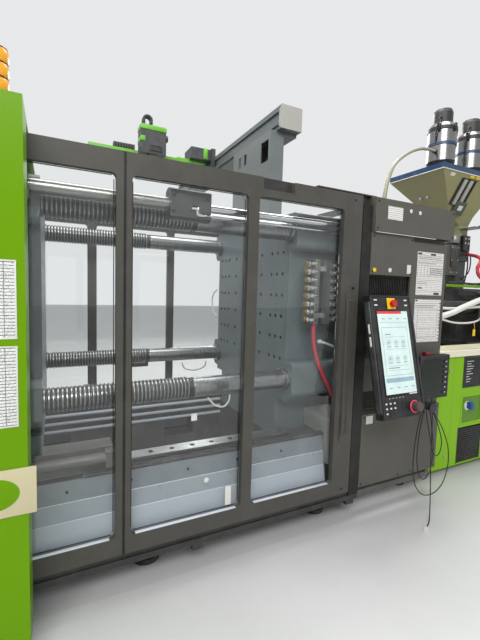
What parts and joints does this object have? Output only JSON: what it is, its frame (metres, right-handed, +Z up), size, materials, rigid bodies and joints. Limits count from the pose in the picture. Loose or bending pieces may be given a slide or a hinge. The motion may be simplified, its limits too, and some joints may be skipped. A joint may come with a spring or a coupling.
{
  "type": "injection moulding machine",
  "caption": "Two-platen injection moulding machine with sliding guard doors, operator panel, injection unit with hopper and loaders, and a take-out robot above.",
  "frame": {"origin": "on the floor below the middle of the whole machine, robot beam included", "axes": "+X from the clamp end towards the injection end, +Y from the operator's side towards the back, +Z up"},
  "size_m": [8.32, 3.6394, 3.29],
  "materials": {
    "machine_grey": "satin paint",
    "platen_paint": "satin paint on castings",
    "lime_paint": "satin paint",
    "pale_paint": "satin paint",
    "cream_top": "matte",
    "bright_steel": "ground",
    "hard_chrome": "polished",
    "nozzle_steel": "turned",
    "stainless": "brushed",
    "door_paint": "satin paint",
    "post_paint": "satin paint",
    "clear_pane": "polished",
    "black_plastic": "fine grain",
    "pad_rubber": "matte",
    "hose_rubber": "matte",
    "cable_rubber": "matte",
    "plug_plastic": "matte",
    "olive_paint": "satin paint",
    "robot_grey": "anodised",
    "robot_green": "satin paint",
    "red_plastic": "gloss"
  },
  "bodies": {
    "machine": {"clamp_base": "machine_grey", "injection_base": "machine_grey", "levelling_pads": "pad_rubber", "guide_rails": "bright_steel", "fixed_platen": "platen_paint", "tie_bars": "bright_steel", "clamp_cylinders": "machine_grey", "travel_rods": "hard_chrome", "cooling_manifold": "bright_steel", "hoses": "hose_rubber", "bed_aprons": "pale_paint", "corner_box": "pale_paint", "clamp_cover_front": "lime_paint", "clamp_cover_rear": "lime_paint", "clamp_cover_end": "lime_paint", "door_tracks": "machine_grey", "door_posts": "post_paint", "guard_frame": "machine_grey", "hood_cover": "door_paint", "purge_covers": "door_paint", "vent_grille": "black_plastic", "rear_purge_cover": "door_paint", "cabinet_panels": "lime_paint", "worktop": "cream_top", "robot_console": "pale_paint", "robot_beam": "robot_grey", "aux_display": "black_plastic", "panel_arm": "machine_grey", "carriage_rods": "hard_chrome", "hanging_cable": "cable_rubber", "cable_plug": "plug_plastic"},
    "moving_platen_group": {"moving_platen": "platen_paint", "platen_shoes": "machine_grey", "lock_housings": "machine_grey", "travel_cylinders": "stainless", "ejector_housing": "machine_grey"},
    "ejector": {"ejector_plate": "bright_steel"},
    "upper_half_nuts": {"lock_nuts_upper": "bright_steel"},
    "lower_half_nuts": {"lock_nuts_lower": "bright_steel"},
    "front_door": {"door_frame_left": "door_paint", "door_frame_right": "door_paint", "door_panes": "clear_pane"},
    "rear_door": {"rear_door_frame": "door_paint", "rear_door_panes": "clear_pane"},
    "nozzle_guard": {"purge_guard": "door_paint"},
    "operator_panel": {"panel_housing": "black_plastic"},
    "mode_knob": {"panel_knob": "black_plastic"},
    "stop_button": {"estop_button": "red_plastic"},
    "cabinet_leaf": {"cabinet_door": "lime_paint"},
    "injection_carriage": {"carriage_frame": "machine_grey", "barrel": "nozzle_steel", "heater_bands": "stainless", "hopper": "olive_paint", "loaders": "stainless"},
    "crosshead": {"screw_drive": "machine_grey"},
    "screw": {"injection_screw": "nozzle_steel"},
    "hopper_gate": {"slide_gate": "stainless"},
    "robot_saddle": {"robot_carriage": "black_plastic", "robot_kick_axis": "robot_green"},
    "robot_head": {"robot_arm": "black_plastic"}
  },
  "joints": [
    {"name": "platen_slide", "type": "slide", "parent": "machine", "child": "moving_platen_group", "axis": [1, 0, 0], "range_m": [0, 0.84]},
    {"name": "ejector_slide", "type": "slide", "parent": "moving_platen_group", "child": "ejector", "axis": [1, 0, 0], "range_m": [0, 0.18]},
    {"name": "upper_lock_slide", "type": "slide", "parent": "moving_platen_group", "child": "upper_half_nuts", "axis": [0, 0, -1], "range_m": [0, 0.018]},
    {"name": "lower_lock_slide", "type": "slide", "parent": "moving_platen_group", "child": "lower_half_nuts", "axis": [0, 0, 1], "range_m": [0, 0.018]},
    {"name": "front_door_slide", "type": "slide", "parent": "machine", "child": "front_door", "axis": [-1, 0, 0], "range_m": [0, 1.38]},
    {"name": "rear_door_slide", "type": "slide", "parent": "machine", "child": "rear_door", "axis": [-1, 0, 0], "range_m": [0, 1.38]},
    {"name": "nozzle_guard_slide", "type": "slide", "parent": "machine", "child": "nozzle_guard", "axis": [-1, 0, 0], "range_m": [0, 0.26]},
    {"name": "panel_swivel", "type": "hinge", "parent": "machine", "child": "operator_panel", "pos_m": [-0.34, -1.6, 1.118], "axis": [0, 0, 1], "range_deg": [-15, 15]},
    {"name": "knob_turn", "type": "hinge", "parent": "operator_panel", "child": "mode_knob", "pos_m": [-0.2475, -1.77692, 0.82607], "axis": [0, -0.9744, 0.225], "continuous": true},
    {"name": "stop_press", "type": "slide", "parent": "operator_panel", "child": "stop_button", "axis": [0, 0.9744, -0.225], "range_m": [0, 0.005], "stiffness_N_per_m": 600, "springref_m": -0.002},
    {"name": "cabinet_hinge", "type": "hinge", "parent": "machine", "child": "cabinet_leaf", "pos_m": [2.85, -1.339, 0.5], "axis": [0, 0, 1], "range_deg": [0, 90]},
    {"name": "carriage_slide", "type": "slide", "parent": "machine", "child": "injection_carriage", "axis": [1, 0, 0], "range_m": [0, 0.25]},
    {"name": "crosshead_slide", "type": "slide", "parent": "injection_carriage", "child": "crosshead", "axis": [1, 0, 0], "range_m": [0, 0.3]},
    {"name": "screw_turn", "type": "hinge", "parent": "crosshead", "child": "screw", "pos_m": [2.15, -0.7, 1.402], "axis": [1, 0, 0], "continuous": true},
    {"name": "gate_slide", "type": "slide", "parent": "injection_carriage", "child": "hopper_gate", "axis": [0, -1, 0], "range_m": [0, 0.13]},
    {"name": "robot_traverse", "type": "slide", "parent": "machine", "child": "robot_saddle", "axis": [0, -1, 0], "range_m": [-0.95, 1.1]},
    {"name": "robot_kick", "type": "slide", "parent": "robot_saddle", "child": "robot_head", "axis": [1, 0, 0], "range_m": [-0.4, 0.24]}
  ],
  "couplings": [
    {"joint": "lower_lock_slide", "follows": "upper_lock_slide", "ratio": 1}
  ]
}
